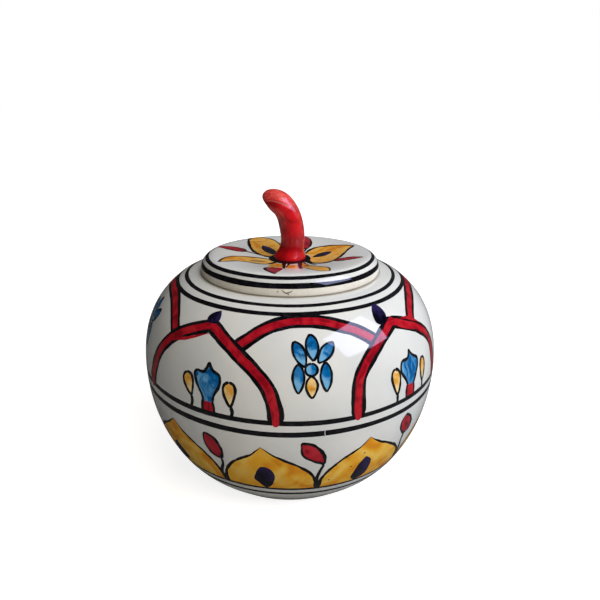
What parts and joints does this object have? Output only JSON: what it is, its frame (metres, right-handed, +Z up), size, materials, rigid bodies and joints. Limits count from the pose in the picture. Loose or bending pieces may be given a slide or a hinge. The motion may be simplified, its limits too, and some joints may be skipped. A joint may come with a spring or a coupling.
{
  "type": "lidded ceramic jar",
  "caption": "Round glazed ceramic jar for storing small things, with a flat lift-off lid that locates in the mouth and a curved stem as its handle.",
  "frame": {"origin": "centre of the foot ring's underside, on the surface that the jar stands on", "axes": "+Z up through the mouth and the lid, -Y towards the viewer of the picture, the stem's tip bends towards -X"},
  "size_m": [0.125, 0.125, 0.1242],
  "materials": {
    "glazed_body": "gloss",
    "glazed_lid": "gloss",
    "red_glaze": "gloss",
    "bare_clay": "matte"
  },
  "bodies": {
    "jar": {"jar_bowl": "glazed_body", "foot_ring": "bare_clay"},
    "lid": {"lid_plate": "glazed_lid", "lid_locating_ring": "bare_clay", "stem_handle": "red_glaze"}
  },
  "joints": [
    {"name": "lid_lift", "type": "slide", "parent": "jar", "child": "lid", "axis": [0, 0, 1], "range_m": [0, 0.08]}
  ]
}
